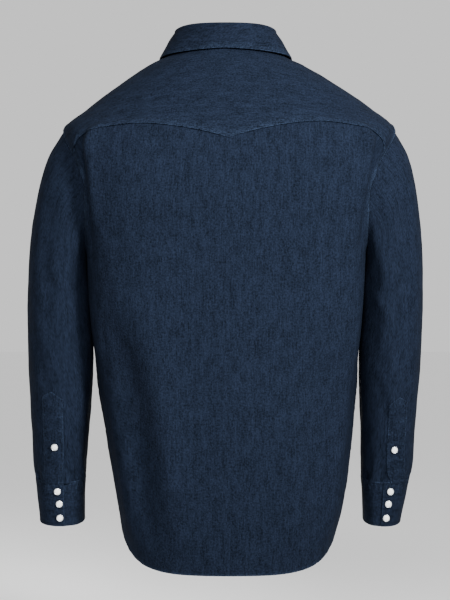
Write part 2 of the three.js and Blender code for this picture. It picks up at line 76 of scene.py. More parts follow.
# Folds: low and high ring, turn in degrees at both, breadth in degrees and height in mm. Turns are
# 0 at the left side seam, 90 at the middle of the back and 270 in front.
TRUNK_FOLDS = [
    [5.2, 8.7, 33, 47, 4.5, 6],
    [4.8, 8.1, 30, 35, 4.5, -6],
    [5.2, 8.7, 147, 133, 4.5, 6],
    [4.8, 8.1, 150, 145, 4.5, -6],
    [2.9, 6.8, 0, 0, 9, -6.5],
    [2.9, 6.8, 180, 180, 9, -6.5],
    [0.2, 4.6, 36, 26, 7, 3.5],
    [0.4, 4.9, 146, 156, 7, 3.5],
    [0, 3.9, 70, 62, 8, 2.5],
    [0.1, 3.2, 112, 121, 9, 2.5],
    [5, 8.8, -31, -43, 5, 5],
    [5, 8.8, 211, 223, 5, 5],
    [0.3, 4.7, -33, -25, 8, 3.5],
    [0.2, 4.4, 214, 206, 8, 3],
    [0, 3.4, -62, -70, 9, -2.5],
]
# Creases of the worn cloth, smaller than the folds and as uneven as they fall
TRUNK_CREASES = [
    [6, 8.6, 27, 49.5, 2.7, 2.8],
    [5.9, 8.4, 20, 43.5, 2.7, -4.4],
    [6, 8.6, 147, 132.5, 2.7, 2.6],
    [5.9, 8.4, 158, 138.5, 2.7, -4],
    [0.4, 4.7, 49, 46, 8, -7],
    [0.2, 4.8, 65, 61, 6, 4],
    [1.2, 5.6, 76, 83, 8, -2],
    [0.3, 3.6, 131, 127, 6, -4.5],
    [0.4, 3.9, 121, 114, 7, 1.8],
    [3.6, 6.6, 136, 128, 8, -2],
    [4.2, 7.4, 46, 55, 7, -2.4],
    [1.6, 3.1, 34, 52, 3.5, 1.6],
    [2.2, 4.3, 24, 40, 3, -1.4],
    [0.9, 2.6, 48, 41, 3.2, -1.2],
    [3.4, 5.6, 52, 44, 4, 1.3],
    [1.2, 3.3, 133, 141, 3.4, -1.7],
    [2.3, 4.8, 152, 137, 3.2, 1.4],
    [0.7, 2.1, 126, 131, 3, 1.1],
    [4.6, 6.9, 96, 84, 5, 1],
    [2.9, 5, 108, 116, 5, -1],
    [5.4, 7.3, 62, 70, 5, -0.9],
    [5.1, 7.5, 117, 112, 4, 0.9],
    [8.6, 10.8, 58, 49, 4, 0.9],
    [8.4, 10.6, 126, 134, 4, 0.9],
    [9.2, 11.2, 76, 71, 5, -0.7],
    [1.1, 3.2, -46, -58, 4, 1.8],
    [2.6, 5.1, -38, -52, 4, -1.6],
    [1.4, 4.2, 226, 238, 4, 1.7],
    [0.8, 2.9, 247, 241, 4, -1.4],
    [6.1, 8.7, -58, -66, 5, 1.6],
    [5.8, 8.4, 240, 250, 5, 1.4],
]


def along(values, at):
    """A smooth curve through the rows of an array, read at row numbers with fractions."""
    values = np.asarray(values, float)
    last = len(values) - 1
    ends = np.concatenate([[2 * values[0] - values[1]], values, [2 * values[-1] - values[-2]]])
    at = np.clip(np.asarray(at, float), 0, last)
    low = np.minimum(np.floor(at).astype(int), last - 1)
    t = (at - low).reshape(at.shape + (1,) * (values.ndim - 1))
    a, b, c, d = (ends[low + k] for k in range(4))
    bend = (2 * a - 5 * b + 4 * c - d) * t**2 + (3 * b - a - 3 * c + d) * t**3
    return b + 0.5 * ((c - a) * t + bend)


def smooth(value, low, high):
    """A soft step from 0 at low to 1 at high."""
    t = np.clip((value - low) / (high - low), 0, 1)
    return t * t * (3 - 2 * t)


def fold_height(folds, across, place):
    """How far folds lift the cloth, each a soft ridge or trough that fades at its ends."""
    height = np.zeros(np.broadcast(across, place).shape)
    for low, high, start, end, breadth, rise in folds:
        way = np.clip((place - low) / (high - low), 0, 1)
        off = (across - (start + (end - start) * way) + 180) % 360 - 180
        height += rise * (1 - (2 * way - 1) ** 4) ** 2 * np.exp(-((off / breadth) ** 2))
    return height


def trunk(turn, level):
    """Points of the trunk at turns in degrees and ring numbers."""
    turn, level = np.broadcast_arrays(turn, level)
    c, s = np.cos(np.radians(turn)), np.sin(np.radians(turn))
    at = {name: along(column, level) for name, column in TRUNK.items()}
    behind = s > 0
    reach = np.where(behind, at["rear"], at["chest"])
    box = np.where(behind, at["box_back"], at["box_front"])
    drop = np.where(behind, at["back"], at["front"]) - at["side"]
    rounded = (np.hypot(s, TAIL_ROUND) - TAIL_ROUND) / (np.hypot(1, TAIL_ROUND) - TAIL_ROUND)
    curve = smooth(np.abs(s), 0, 1) * (1 - at["tail"]) + rounded * (2 - rounded) * at["tail"]
    push = fold_height(TRUNK_FOLDS + TRUNK_CREASES, turn, level)
    outward = np.stack([c / at["wide"], s / reach], -1)
    outward *= (push / np.linalg.norm(outward, axis=-1))[..., None]
    x = at["shift"] + at["wide"] * c * (1 + box * s * s) + outward[..., 0]
    y = reach * s * (1 + box * c * c) + outward[..., 1]
    z = at["side"] + drop * curve - at["sag"] * (2 * s * c) ** 2
    return np.stack([x, y, z], -1)


def surface(function, u, v, side=1, du=0.4, dv=0.01):
    """Points of a surface and its outward normals, at arrays of its two numbers."""
    across = function(u + du, v) - function(u - du, v)
    up = function(u, v + dv) - function(u, v - dv)
    normal = side * np.cross(across, up)
    return function(u, v), normal / np.linalg.norm(normal, axis=-1, keepdims=True)


def graded(start, end, step, fine=None, near_start=0, near_end=0):
    """Places from start to end about a step apart, and a fine step apart close to the ends."""
    low, high = start + near_start, end - near_end
    parts = [np.linspace(low, high, max(2, int(np.ceil((high - low) / step)) + 1))]
    if near_start:
        parts.append(np.linspace(start, low, int(np.ceil(near_start / fine)) + 1))
    if near_end:
        parts.append(np.linspace(high, end, int(np.ceil(near_end / fine)) + 1))
    return np.unique(np.round(np.concatenate(parts), 6))


def walked(points, axis):
    """How far each point lies from the first of its row (axis 1) or column (axis 0)."""
    step = np.linalg.norm(np.diff(points, axis=axis), axis=-1)
    first = np.zeros_like(np.take(step, [0], axis))
    return np.concatenate([first, np.cumsum(step, axis)], axis)


# The armhole is an oval on the trunk, from the underarm's ring to the tip of the shoulder
UNDERARM, SHOULDER_TIP = 5, 8.05
ARMHOLE_TURN = 26


def armhole(phi, spread=1):
    """The left armhole's turn and ring: phi is 0 at its top, 90 at the back, 180 under the arm."""
    middle, half = (UNDERARM + SHOULDER_TIP) / 2, (SHOULDER_TIP - UNDERARM) / 2
    turn = ARMHOLE_TURN * np.sin(np.radians(phi)) * spread
    return turn, middle + half * np.cos(np.radians(phi)) * spread


# The yoke's back seam waves up to a crest on each side and down to a soft point in the middle
YOKE_BACK_PHI = 62  # where it leaves the armhole
CORNER_TURN, CORNER_LEVEL = armhole(YOKE_BACK_PHI)
CREST_TURN, CREST_LEFT, CREST_RIGHT = 60, 8.12, 8.2
YOKE_POINT, YOKE_BEND, YOKE_RISE = 7.43, 1.6, 2.6
FREE_TURN = 34  # the columns nearer the side than this lean over to follow the armhole
STEP = 3.7  # between the rows of a panel's grid
HEM_FINE, HEM_STEP = 13, 1.2  # the rows are closer together over the hem


def back_turn(column, border):
    """A column's turn, 0 to 180 across the back, kept inside the left and right border."""
    half = np.minimum(column, 180 - column)
    turn = np.where(half < FREE_TURN, border + half * (FREE_TURN - border) / FREE_TURN, half)
    return np.where(column > 90, 180 - turn, turn)


def yoke_seam(turn):
    """The ring that the yoke's back seam reaches at a turn."""
    half = np.minimum(turn, 180 - turn)
    crest = np.where(turn > 90, CREST_RIGHT, CREST_LEFT)
    short = np.clip((CREST_TURN - half) / (CREST_TURN - CORNER_TURN), 0, 1)
    fall = np.clip((half - CREST_TURN) / (90 - CREST_TURN), 0, 1)
    up = crest + (CORNER_LEVEL - crest) * short**YOKE_RISE
    return np.where(half < CREST_TURN, up, crest + (YOKE_POINT - crest) * fall**YOKE_BEND)


def side_levels():
    """Rings from the hem to the underarm, a step apart down the side seam and finer at the hem."""
    heights = graded(TRUNK["back"][0], TRUNK["back"][UNDERARM], STEP, HEM_STEP, near_start=HEM_FINE)
    fine = np.linspace(0, UNDERARM, 800)
    return np.interp(heights, along(TRUNK["back"], fine), fine)[:-1]


def measured(points):
    """Distances along the cloth: from the first column, from the first row, and from either side."""
    across, up = walked(points, 1), walked(points, 0)
    return across, up, (across, across[:, -1:] - across)


def uneven(u, v, size, seed):
    """Soft unevenness about as large as size: a few slanting waves, mostly from -1 to 1."""
    random = np.random.default_rng(seed)
    total = np.zeros(np.broadcast(u, v).shape)
    for _ in range(8):
        angle, phase = random.uniform(0, 2 * np.pi, 2)
        wave = size * random.uniform(0.65, 1.6)
        total += np.sin(2 * np.pi * (u * np.cos(angle) + v * np.sin(angle)) / wave + phase)
    return total / 4


def puckers(distance, along_seam, seed, height=0.3, reach=13):
    """Small ripples across a seam that fade out away from it, in mm."""
    random = np.random.default_rng(seed)
    total = 0
    for wave in (6.1, 8.3, 11.7, 19.0):
        lean = random.uniform(-0.5, 0.5)
        total = total + np.sin(2 * np.pi * (along_seam + lean * distance) / wave + random.uniform(0, 6.3))
    swell = 0.65 + 0.35 * np.sin(along_seam / 47 + random.uniform(0, 6.3))
    return height * swell * total / 2 * np.exp(-((distance / reach) ** 2))


FELL_WIDTH = 9  # of a lapped seam
FELL_ROWS = 1.7, 7.6  # its two rows of stitches, from the turned edge
FELL_LIFT = 1.25  # the lapped edge stands on the layer below it
TUCK = 0.55  # how deep a panel's edge lies under its neighbour
SEAM_GROOVE = 1.1  # the sewing pulls the under layer in beside the turned edge
TURNED_IN = 2.5  # how far a lapped edge's inner side reaches below


def fell(distance):
    """The lift of a lapped seam's turned edge."""
    return FELL_LIFT * smooth(distance, FELL_WIDTH + 6, FELL_WIDTH - 1)


def seam_wear(distance, ripple, band=0):
    """How rubbed the cloth is beside a seam: on the turned edge, its ripples and the lapped band."""
    lapped = band * smooth(distance, FELL_WIDTH + 1, FELL_WIDTH - 2)
    return lapped + 0.3 * np.exp(-((distance / 1.7) ** 2)) + 0.7 * np.clip(ripple, 0, 1)


def turned_in(shown, normals, cut, wear, borders):
    """Adds the turned-in edge along borders of a lapped panel, which closes its seam below."""
    sheet = [shown, normals, cut, np.broadcast_to(wear, shown.shape[:2])]
    for axis, end in borders:
        edge = [np.take(each, [end], axis) for each in sheet]
        edge[0] = edge[0] - edge[1] * TURNED_IN
        sheet = [np.concatenate((panel, inner) if end else (inner, panel), axis)
                 for inner, panel in zip(edge, sheet)]
    return sheet


def colour(code):
    """A linear colour from its sRGB hex code."""
    parts = [int(code[i:i + 2], 16) / 255 for i in (1, 3, 5)]
    return [c / 12.92 if c <= 0.04045 else ((c + 0.055) / 1.055) ** 2.4 for c in parts] + [1]


def add_node(tree, kind, settings=None, links=None):
    """Adds a node, sets its sockets or properties, and links its sockets from others."""
    node = tree.nodes.new("ShaderNode" + kind)
    for name, value in (settings or {}).items():
        if isinstance(name, int) or name in node.inputs:
            node.inputs[name].default_value = value
        else:
            setattr(node, name, value)
    for name, source in (links or {}).items():
        tree.links.new(source, node.inputs[name])
    return node


def new_material(name, finish):
    """A material with the shader that finish adds to its node tree."""
    material = bpy.data.materials.new(name)
    material.use_nodes = True
    tree = material.node_tree
    tree.nodes.clear()
    add_node(tree, "OutputMaterial", {}, {"Surface": finish(tree).outputs["BSDF"]})
    return material


# Each layer of the weave: breadth and length of its marks in mm, and its share. Real yarns are
# 0.4 mm, too fine to show from three metres, so the marks are those of bundles and slubs.
WEAVE = [
    ("slub", 1.9, 13, 0.36),
    ("streak", 4.6, 60, 0.2),
    ("fleck", 2.4, 3, 0.6),
    ("weft", 5, 1.7, 0.24),
    ("cloud", 13, 24, 0.24),
]
WEAVE_REACH = 0.2  # how far from its middle their sum is fully dark or light
TWILL_PITCH, TWILL_LEAN, TWILL_SHARE = 1.3, -27, 0.25  # also drawn coarser than it is
WAVE_PERIOD = 0.314  # of the wave pattern at scale 1
RELIEF_STRENGTH, RELIEF_DEPTH = 0.42, 0.6
INDIGO_DARK, INDIGO_LIGHT, INDIGO_WORN = "#050911", "#141b29", "#2e3b50"


def denim_twill(tree):
    # A rinsed right-hand twill of indigo warp over a pale weft: matt, with slubs as fine streaks up
    # the cloth, the weft as flecks, a faint slanting rib, and paler where raised edges have rubbed
    cut = add_node(tree, "UVMap", {"uv_map": "cut"}).outputs["UV"]
    total = None
    for _, breadth, length, share in WEAVE:
        scale = (1 / (breadth * MM), 1 / (length * MM), 1)
        place = add_node(tree, "Mapping", {"Scale": scale}, {"Vector": cut})
        marks = add_node(
            tree, "TexNoise",
            {"noise_dimensions": "2D", "Scale": 1.0, "Detail": 2.0, "Roughness": 0.6},
            {"Vector": place.outputs["Vector"]}).outputs["Fac"]
        links = {0: marks} if total is None else {0: marks, 2: total}
        total = add_node(tree, "Math", {"operation": "MULTIPLY_ADD", 1: share, 2: 0.0}, links).outputs[0]
    middle = sum(row[3] for row in WEAVE) / 2
    tone = add_node(tree, "MapRange", {"From Min": middle - WEAVE_REACH, "From Max": middle + WEAVE_REACH},
                    {"Value": total})
    tint = add_node(tree, "Mix", {"data_type": "RGBA", 6: colour(INDIGO_DARK), 7: colour(INDIGO_LIGHT)},
                    {0: tone.outputs["Result"]})
    wear = add_node(tree, "Attribute", {"attribute_name": "wear"}).outputs["Fac"]
    rubbed = add_node(tree, "Math", {"operation": "MULTIPLY", "use_clamp": True},
                      {0: wear, 1: tone.outputs["Result"]})
    cloth_colour = add_node(tree, "Mix", {"data_type": "RGBA", 7: colour(INDIGO_WORN)},
                            {0: rubbed.outputs[0], 6: tint.outputs[2]})
    twist = add_node(tree, "Mapping", {"Rotation": (0, 0, np.radians(TWILL_LEAN))}, {"Vector": cut})
    twill = add_node(tree, "TexWave",
                     {"Scale": WAVE_PERIOD / (TWILL_PITCH * MM), "Distortion": 1.5, "Detail": 1.0},
                     {"Vector": twist.outputs["Vector"]})
    relief = add_node(tree, "Math", {"operation": "MULTIPLY_ADD", 1: TWILL_SHARE},
                      {0: twill.outputs["Fac"], 2: total})
    bump = add_node(tree, "Bump", {"Strength": RELIEF_STRENGTH, "Distance": RELIEF_DEPTH * MM},
                    {"Height": relief.outputs[0]})
    return add_node(tree, "BsdfPrincipled", {"Roughness": 0.9, "Specular IOR Level": 0.04},
                    {"Base Color": cloth_colour.outputs[2], "Normal": bump.outputs["Normal"]})


THREAD_SHADE = 2.5  # length of a darker or paler stretch


def spun_thread(tree):
    # Spun polyester core thread: a little sheen, and close to the cloth's own colour
    place = add_node(tree, "TexCoord").outputs["Object"]
    shade = add_node(tree, "TexNoise", {"Scale": 1 / (THREAD_SHADE * MM), "Detail": 1.0},
                     {"Vector": place})
    tint = add_node(tree, "Mix", {"data_type": "RGBA", 6: colour("#070a12"), 7: colour("#101724")},
                    {0: shade.outputs["Fac"]})
    return add_node(tree, "BsdfPrincipled", {"Roughness": 0.8, "Specular IOR Level": 0.08},
                    {"Base Color": tint.outputs[2]})


denim = new_material("rinsed_indigo_denim_twill", denim_twill)
thread = new_material("navy_core_spun_thread", spun_thread)


def mesh_of(bm, name):
    mesh = bpy.data.meshes.new(name)
    bm.to_mesh(mesh)
    bm.free()
    return mesh


def new_object(name, data):
    made = bpy.data.objects.new(name, data)
    bpy.context.scene.collection.objects.link(made)
    return made


def placed(name, mesh, slot, *materials):
    """The piece that shows a mesh in its materials, carried by the shirt's one body."""
    mesh.polygons.foreach_set("use_smooth", np.ones(len(mesh.polygons), bool))
    for material in materials:
        mesh.materials.append(material)
    piece = new_object(name, mesh)
    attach(piece, "root")
    return piece


DENIM_WALL = 1.0
FOLDED_EDGE = 0.3  # radius of a single layer's edge


def cloth(name, points, normals, cut, wear=0, wall=DENIM_WALL, bevel=FOLDED_EDGE):
    """A sheet of denim through a grid of points, its wall turned inwards.

    Its UV map holds the flat cut in metres, and its wear says where the indigo has rubbed off.
    """
    rows, columns = points.shape[:2]
    bm = bmesh.new()
    bmesh.ops.create_grid(bm, x_segments=columns - 1, y_segments=rows - 1, size=1)
    mesh = mesh_of(bm, name)
    # The flat grid runs from -1 to 1 both ways, which gives each vertex its row and column
    flat = np.empty(3 * len(mesh.vertices))
    mesh.vertices.foreach_get("co", flat)
    flat = flat.reshape(-1, 3)
    column = np.rint((flat[:, 0] + 1) / 2 * (columns - 1)).astype(int)
    row = np.rint((flat[:, 1] + 1) / 2 * (rows - 1)).astype(int)
    mesh.vertices.foreach_set("co", (points[row, column] * MM).ravel())
    corner = np.empty(len(mesh.loops), int)
    mesh.loops.foreach_get("vertex_index", corner)
    layer = mesh.uv_layers.new(name="cut")
    layer.data.foreach_set("uv", (cut[row, column][corner] * MM).ravel())
    worn = mesh.attributes.new("wear", "FLOAT", "POINT")
    worn.data.foreach_set("value", np.broadcast_to(wear, (rows, columns))[row, column].astype(float))
    middle = rows // 2, columns // 2
    beside = points[middle[0], middle[1] + 1] - points[middle]
    above = points[middle[0] + 1, middle[1]] - points[middle]
    if np.dot(np.cross(beside, above), normals[middle]) < 0:
        mesh.flip_normals()
    mesh.update()
    piece = placed(name, mesh, "denim", denim)
    thick = piece.modifiers.new("wall", "SOLIDIFY")
    thick.thickness = wall * MM
    thick.offset = -1
    rounded = piece.modifiers.new("folded_edge", "BEVEL")
    rounded.width = bevel * MM
    rounded.segments = 2
    rounded.limit_method = "ANGLE"
    rounded.angle_limit = np.radians(60)
    return piece


def offset_line(points, normals, distance, gap, axis):
    """The line on a panel that keeps a gap from one of its borders, with normals."""
    if axis == 1:
        points, normals, distance = (each.swapaxes(0, 1) for each in (points, normals, distance))
    line, facing = [], []
    for c in range(points.shape[1]):
        order = np.argsort(distance[:, c])
        at = distance[order, c]
        line.append([np.interp(gap, at, points[order, c, k]) for k in range(3)])
        facing.append([np.interp(gap, at, normals[order, c, k]) for k in range(3)])
    return np.array(line), np.array(facing)


STITCH = {"pitch": 3.0, "length": 2.5, "wide": 0.7, "high": 0.4}


def stitch_row(line, facing):
    """A mesh of one row of lockstitches, each a small bow of thread, along a line on the cloth."""
    way = walked(line[:, None], 0)[:, 0]

    def at(values, place):
        return Vector([np.interp(place, way, values[:, k]) for k in range(3)])

    bm = bmesh.new()
    for place in np.arange(STITCH["pitch"] / 2, way[-1], STITCH["pitch"]):
        run = (at(line, place + 1) - at(line, place - 1)).normalized()
        up = at(facing, place)
        up = (up - up.dot(run) * run).normalized()
        axes = Matrix((run * STITCH["length"] / 2, up.cross(run) * STITCH["wide"] / 2, up * STITCH["high"]))
        matrix = Matrix.Translation(at(line, place) * MM) @ (axes.transposed() * MM).to_4x4()
        bmesh.ops.create_icosphere(bm, subdivisions=1, radius=1, matrix=matrix)
    return mesh_of(bm, "row")


WHOLE = slice(None)


def sewing(name, shown, normals, rows):
    """One piece with rows of stitches, each at a gap from a border, on some of a panel's rows."""
    bm = bmesh.new()
    for distance, gap, axis, part in rows:
        row = stitch_row(*offset_line(shown[part], normals[part], distance[part], gap, axis))
        bm.from_mesh(row)
        bpy.data.meshes.remove(row)
    return placed(name, mesh_of(bm, name), "denim", thread)


HEM = 7  # from the edge to its row of stitches


def back_panel():
    levels = side_levels()
    phi = graded(YOKE_BACK_PHI, 180, 1.8, 0.6, near_start=6)[::-1]
    arm_turn, arm_level = armhole(phi)
    border = np.concatenate([np.zeros_like(levels), arm_turn])[:, None]
    level = np.concatenate([levels, arm_level])[:, None]
    column = graded(0, 180, 1.35, 0.35, 5, 5)[None]
    height = np.maximum(0, (level - UNDERARM) / (CORNER_LEVEL - UNDERARM))
    rise = yoke_seam(back_turn(column, CORNER_TURN)) - CORNER_LEVEL
    turns = back_turn(column, border)
    rings = level + rise * height**2
    for beyond in (0.05, 0.1):  # two more rows go on under the yoke
        turns = np.concatenate([turns, turns[-1:]])
        rings = np.concatenate([rings, rings[len(level) - 1:len(level)] + beyond])
    points, normals = surface(trunk, turns, rings)
    across, up, sides = measured(points)
    side = np.minimum(*sides)
    top = np.maximum(0, up[len(level) - 1] - up)
    ripple = puckers(side, up, 3) + puckers(top, across, 5, 0.2, 9) + puckers(up, across, 7, 0.28, 9)
    lift = fell(side) + ripple + 0.35 * uneven(across, up, 60, 1) + 0.12 * uneven(across, up, 17, 2)
    lift -= SEAM_GROOVE / 2 * np.exp(-((top / 1.6) ** 2))
    lift[len(level):] -= TUCK
    lift[len(level) - 1] -= TUCK / 2
    wear = seam_wear(side, puckers(side, up, 3), 0.25) + 0.4 * np.exp(-((up / 2) ** 2))
    wear += 0.6 * np.clip(puckers(up, across, 7, 0.28, 9), 0, 1)
    shown = points + normals * lift[..., None]
    cut = np.stack([across - across[:, -1:] / 2, up], -1)
    piece = cloth("back_panel", *turned_in(shown, normals, cut, wear, [(1, 0), (1, -1)]))
    in_sight = slice(len(level))
    rows = [(edge, gap, 1, in_sight) for gap in FELL_ROWS for edge in sides]
    seams = sewing("back_stitches", shown, normals, rows + [(up, HEM, 0, in_sight)])
    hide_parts("back")


back_panel()

# Yoke
# One layer of denim laid crosswise over the shoulders, so its slubs run across. Its turned lower edge
# laps the back, the sleeves and the fronts, and two rows of stitches hold it down.
NECK = 12  # the neck seam's ring
YOKE_FRONT_PHI = -38
RIDGE_ROWS = slice(None, 7, -1)  # the rings over the shoulder, from the neck outwards


def yoke_panel():
    arm = graded(YOKE_FRONT_PHI, YOKE_BACK_PHI, 1.9)
    arm_turn, arm_level = armhole(arm)
    seam_turn = back_turn(graded(0, 180, 1.25)[1:-1], CORNER_TURN)
    turns = np.concatenate([arm_turn, seam_turn, 180 - arm_turn[::-1]])[None]
    border = np.concatenate([arm_level, yoke_seam(seam_turn), arm_level[::-1]])[None]
    way = graded(0, 1, 0.024, 0.006, near_start=0.1)[:, None]
    rings = border + (NECK - border) * way
    points, normals = surface(trunk, turns + 0 * rings, rings)
    across, up, sides = measured(points)
    ends = np.minimum(*sides)
    edge = np.minimum(up, ends)
    ripple = puckers(up, across, 11, 0.44, 17) + puckers(ends, up, 12, 0.3, 10)
    lift = fell(edge) + ripple + 0.3 * uneven(across, up, 55, 4) + 0.1 * uneven(across, up, 16, 5)
    at_armhole = np.minimum(np.arange(turns.size), np.arange(turns.size)[::-1]) < len(arm)
    wear = seam_wear(edge, 0.7 * ripple, np.where(at_armhole, 0.6, 0.08))
    shown = points + normals * lift[..., None]
    # The flat cut runs from the back seam up to the shoulder's ridge and down in front of it
    ridge = np.interp(np.abs(points[..., 0]), TRUNK["wide"][RIDGE_ROWS], TRUNK["side"][RIDGE_ROWS])
    x, y, z = np.moveaxis(points, -1, 0)
    cut = np.stack([np.where(y > 0, z - y, 2 * ridge - z - y), x], -1)
    borders = [(0, 0), (1, 0), (1, -1)]
    piece = cloth("yoke_panel", *turned_in(shown, normals, cut, wear, borders))
    rows = [(up, gap, 0, WHOLE) for gap in FELL_ROWS]
    rows += [(edge, gap, 1, slice(8, None)) for gap in FELL_ROWS for edge in sides]
    seams = sewing("yoke_stitches", shown, normals, rows)
    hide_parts("yoke")


yoke_panel()

# Fronts and band
# Two plain fronts of denim, the left one lapped over the right, and a separate band stitched down
# the left one's edge with a row of stitches near each side.
FRONT_TURN, FRONT_LEVEL = armhole(YOKE_FRONT_PHI)
FRONT_STEP = 0.0155  # between columns, as a share of the way from the lap to the border
BAND_WIDTH = 35
BAND_LIFT, BAND_ROW = 1.5, 6
# How far a front goes on under its neighbours, in degrees: at the side seam, armhole and yoke
SIDE_TUCK, ARMHOLE_TUCK, YOKE_TUCK = 1.6, 0.15, 2.4
UNDERLAP = 1.9  # how much deeper the right front lies where the left one covers it


def front_turn(x, level):
    """The turn at which a ring passes a distance x from the middle, in front."""
    at = {name: along(TRUNK[name], level) for name in ("shift", "wide", "box_front")}
    return 360 - np.degrees(np.arccos((x - at["shift"]) / (at["wide"] * (1 + at["box_front"]))))


def front_border():
    """Turns and rings up a front's side seam, round its armhole and along the yoke."""
    levels = side_levels()
    phi = graded(-180, YOKE_FRONT_PHI, 1.8)
    arm_turn, arm_level = armhole(phi)
    way = graded(0, 1, 0.03)[1:]
    seam = FRONT_LEVEL + (NECK - FRONT_LEVEL) * way
    turn = np.concatenate([np.zeros_like(levels), arm_turn, np.full_like(seam, FRONT_TURN)])
    level = np.concatenate([levels, arm_level, seam])
    tuck = np.repeat([SIDE_TUCK, ARMHOLE_TUCK, YOKE_TUCK], [len(levels), len(phi), len(seam)])
    return turn[:, None], level[:, None], tuck[:, None]


def front_panel(name, side):
    """The left front for side 1 and the right one for side -1."""
    turn, level, tuck = front_border()
    at_armhole = tuck == ARMHOLE_TUCK
    lap = front_turn(side * np.linspace(-BAND_WIDTH / 2, BAND_WIDTH / 2, 15)[None], level)
    outer = 360 + turn if side > 0 else 180 - turn
    way = graded(0, 1, FRONT_STEP, 0.004, 0, 0.05)[None, 1:]
    turns = np.concatenate([lap, lap[:, -1:] + (outer - lap[:, -1:]) * way], 1)
    last = turns.shape[1]
    under = outer + side * tuck * np.array([[0.5, 1]])
    turns = np.concatenate([turns, under], 1)
    points, normals = surface(trunk, turns, level + 0 * turns)
    across, up = walked(points, 1), walked(points, 0)
    out = np.maximum(0, across[:, last - 1:last] - across)
    lapped = at_armhole * smooth(out, FELL_WIDTH + 2.5, FELL_WIDTH)
    ripple = puckers(out, up, 21 + side) + puckers(up, across, 23 + side, 0.28, 9)
    lift = FELL_LIFT * lapped + ripple
    lift += 0.35 * uneven(across, up, 60, 31 + side) + 0.12 * uneven(across, up, 17, 33)
    lift[:, last:] -= TUCK
    if side < 0:
        lift -= smooth(points[..., 0], -48, -22) * UNDERLAP
    wear = seam_wear(out, ripple) * at_armhole + 0.6 * np.exp(-((up / 2) ** 2))
    shown = points + normals * lift[..., None]
    piece = cloth(f"{name}_panel", shown, normals, np.stack([across, up], -1), wear)
    rows = [(out, gap, 1, at_armhole[:, 0]) for gap in FELL_ROWS]
    seams = sewing(f"{name}_stitches", shown, normals, rows + [(up, HEM, 0, WHOLE)])
    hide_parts(name)


front_panel("front_left", 1)
front_panel("front_right", -1)


def band():
    _, level, _ = front_border()
    x = graded(-BAND_WIDTH / 2, BAND_WIDTH / 2, 2, 1, 4, 4)[None]
    turns = front_turn(x, level)
    points, normals = surface(trunk, turns, level + 0 * turns)
    across, up, sides = measured(points)
    edge = np.minimum(*sides)
    ripple = puckers(edge, up, 41, 0.3, 12)
    shown = points + normals * (BAND_LIFT + ripple)[..., None]
    piece = cloth("front_band_strip", shown, normals, np.stack([across, up], -1), seam_wear(edge, ripple))
    rows = [(each, BAND_ROW, 1, WHOLE) for each in sides]
    seams = sewing("front_band_stitches", shown, normals, rows)
    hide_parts("front_band")


band()

# Collar
# A stand sewn round the neck and a leaf that rolls over its top and falls outside it. Both are two
# layers of crosswise denim, and the leaf has a row of stitches at its edge and one further in.
DOUBLE_WALL, DOUBLE_EDGE = 1.9, 0.55
STAND_LIFT, STAND_LEAN = 0.6, 1.5
STAND_HIGH = {"back": 27.5, "side": 29, "front": 26}
STAND_ROW, LEAF_ROWS = 2.2, (1.8, 6.5)
# The leaf's section from the stand's top, outwards and upwards, then shares of its straight fall
ROLL = np.array([[-1.9, 0], [-1.9, 1.6], [-1.2, 3.6], [1.2, 4.8], [3.8, 4.4], [5.6, 2.6], [6.6, -1]])
LEAF_FALL = np.array([0.16, 0.34, 0.52, 0.7, 0.86, 1])
LEAF_CROWN = 1.2  # how far the fall bows outwards
# The leaf's half from its front point to the middle of the back: turn on the stand, then turn, ring
# and height above the trunk of its edge
LEAF = table("stand turn level lift", [
    [-87, -69, 10.2, 6],
    [-64, -50, 10.72, 5],
    [-34, -27, 11.18, 4.2],
    [0, 0, 11.47, 4],
    [33, 33, 11.5, 4],
    [62, 62, 11.58, 4],
    [90, 90, 11.68, 4],
])


def outward(points):
    """Level directions away from the neck's middle."""
    flat = points * [1, 1, 0]
    return flat / np.linalg.norm(flat, axis=-1, keepdims=True)


def stand_points(turn, up):
    """The stand's outer face: up is 0 at the neck seam and 1 at its top."""
    turn, up = np.broadcast_arrays(turn, up)
    s = np.sin(np.radians(turn))
    end = np.where(s > 0, STAND_HIGH["back"], STAND_HIGH["front"])
    height = STAND_HIGH["side"] + (end - STAND_HIGH["side"]) * s * s
    points = trunk(turn, np.full(turn.shape, float(NECK)))
    points = points - outward(points) * (STAND_LEAN * up)[..., None]
    points[..., 2] += STAND_LIFT + height * up
    return points


def collar_stand():
    end = np.degrees(np.arcsin(BAND_WIDTH / 2 / TRUNK["wide"][NECK]))
    turns = np.linspace(-90 - end, 270 + end, 190)[None]
    up = np.linspace(-0.06, 1, 14)[:, None]
    points, normals = surface(stand_points, turns + 0 * up, up + 0 * turns)
    beneath = smooth(turns, 270 - 1.9 * end, 270 - 1.1 * end) * (DOUBLE_WALL + 0.5)
    across, high = walked(points, 1), walked(points, 0)
    ripple = puckers(high, across, 51, 0.2, 8)
    shown = points + normals * (0.3 + ripple - beneath)[..., None]
    cut = np.stack([high, across], -1)
    piece = cloth("collar_stand_band", shown, normals, cut, seam_wear(high, ripple) * 0.5, DOUBLE_WALL)
    seams = sewing("collar_stand_stitches", shown, normals, [(high, STAND_ROW, 0, WHOLE)])
    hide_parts("collar_stand")


